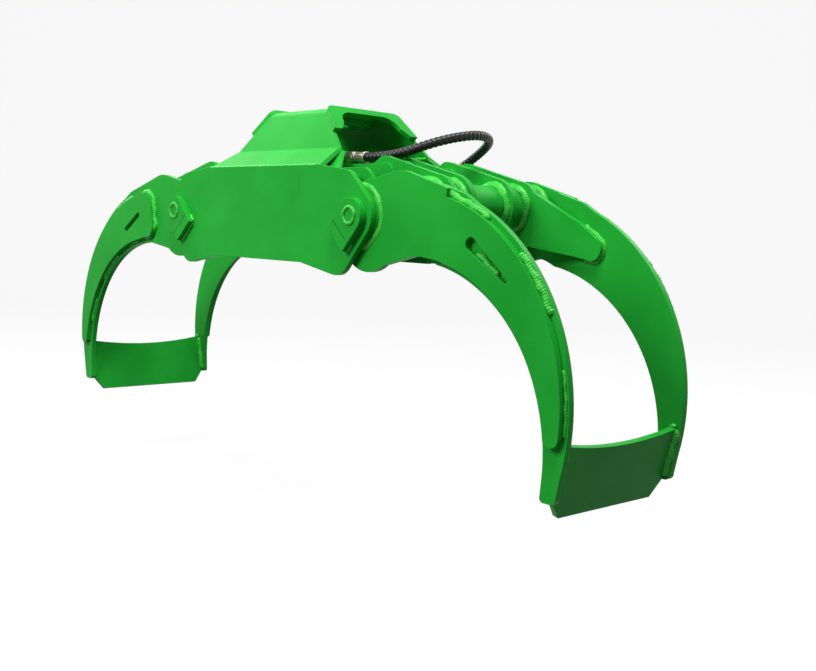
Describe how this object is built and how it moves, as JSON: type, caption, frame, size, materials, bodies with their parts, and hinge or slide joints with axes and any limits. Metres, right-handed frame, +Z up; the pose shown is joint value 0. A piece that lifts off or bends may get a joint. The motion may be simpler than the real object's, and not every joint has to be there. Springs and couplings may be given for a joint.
{
  "type": "log grapple",
  "caption": "Hydraulic log grapple: hooded plate frame under a rotator seat, opposed curved tine jaws with grip plates, driven by side-by-side cylinders.",
  "frame": {"origin": "centre of the rotator's bolt circle on the hood's top face", "axes": "+Z up out of the hood's top, +X from the left jaw to the right jaw, +Y from front to rear"},
  "size_m": [2.094, 0.528, 0.9005],
  "materials": {
    "green_paint": "gloss enamel over weld seams",
    "hose_rubber": "black spiral guard",
    "zinc_plating": "zinc plated",
    "chrome_rod": "hard chrome, ground",
    "machined_steel": "turned",
    "bronze": "cast bronze, bored",
    "pin_steel": "ground"
  },
  "bodies": {
    "barrels": {"barrel_front": "green_paint", "barrel_rear": "green_paint", "gland_front": "machined_steel", "gland_rear": "machined_steel", "hose": "hose_rubber", "hose_fitting_front": "zinc_plating", "hose_fitting_rear": "zinc_plating", "port_pipe": "zinc_plating"},
    "frame": {"cheek_front": "green_paint", "cheek_rear": "green_paint", "cross_tube_left": "green_paint", "cross_tube_right": "green_paint", "frame_straps_front": "green_paint", "frame_straps_rear": "green_paint", "hood": "green_paint", "hood_end_left": "green_paint", "hood_end_right": "green_paint", "hood_web_front": "green_paint", "hood_web_rear": "green_paint", "keeper_stops": "green_paint", "pin_keepers": "green_paint", "pivot_pin_left_front": "pin_steel", "pivot_pin_left_rear": "pin_steel", "pivot_pin_right_front": "pin_steel", "pivot_pin_right_rear": "pin_steel", "rotator_plate": "green_paint", "side_plate_front": "green_paint", "side_plate_rear": "green_paint"},
    "jaw_left": {"left_doubler_front": "green_paint", "left_doubler_rear": "green_paint", "left_grip_plate": "green_paint", "left_inner_lever_front": "green_paint", "left_inner_lever_rear": "green_paint", "left_lever_pins": "pin_steel", "left_outer_lever_front": "green_paint", "left_outer_lever_rear": "green_paint", "left_pivot_boss_front": "green_paint", "left_pivot_boss_rear": "green_paint", "left_pivot_bushes": "bronze", "left_tine_front": "green_paint", "left_tine_rear": "green_paint", "left_torsion_tube": "green_paint"},
    "jaw_right": {"right_grip_plate": "green_paint", "right_inner_lever_front": "green_paint", "right_inner_lever_rear": "green_paint", "right_lever_pins": "pin_steel", "right_outer_lever_front": "green_paint", "right_outer_lever_rear": "green_paint", "right_pivot_boss_front": "green_paint", "right_pivot_boss_rear": "green_paint", "right_pivot_bushes": "bronze", "right_root_plate_front": "green_paint", "right_root_plate_rear": "green_paint", "right_tine_front": "green_paint", "right_tine_rear": "green_paint", "right_torsion_tube": "green_paint"},
    "rods": {"rod_front": "chrome_rod", "rod_rear": "chrome_rod"}
  },
  "joints": [
    {"name": "jaw_right_hinge", "type": "hinge", "parent": "frame", "child": "jaw_right", "pos_m": [0.4, 0, -0.28], "axis": [0, 1, 0], "range_deg": [0, 71]},
    {"name": "jaw_left_hinge", "type": "hinge", "parent": "frame", "child": "jaw_left", "pos_m": [-0.4, 0, -0.28], "axis": [0, -1, 0], "range_deg": [0, 71]},
    {"name": "barrel_hinge", "type": "hinge", "parent": "jaw_right", "child": "barrels", "pos_m": [0.4, 0, -0.18], "axis": [0, 1, 0], "range_deg": [-71, 0]},
    {"name": "rod_hinge", "type": "hinge", "parent": "jaw_left", "child": "rods", "pos_m": [-0.4, 0, -0.18], "axis": [0, -1, 0], "range_deg": [-71, 0]}
  ],
  "couplings": [
    {"joint": "jaw_left_hinge", "follows": "jaw_right_hinge", "ratio": 1},
    {"joint": "barrel_hinge", "follows": "jaw_right_hinge", "ratio": -1},
    {"joint": "rod_hinge", "follows": "jaw_right_hinge", "ratio": -1}
  ]
}
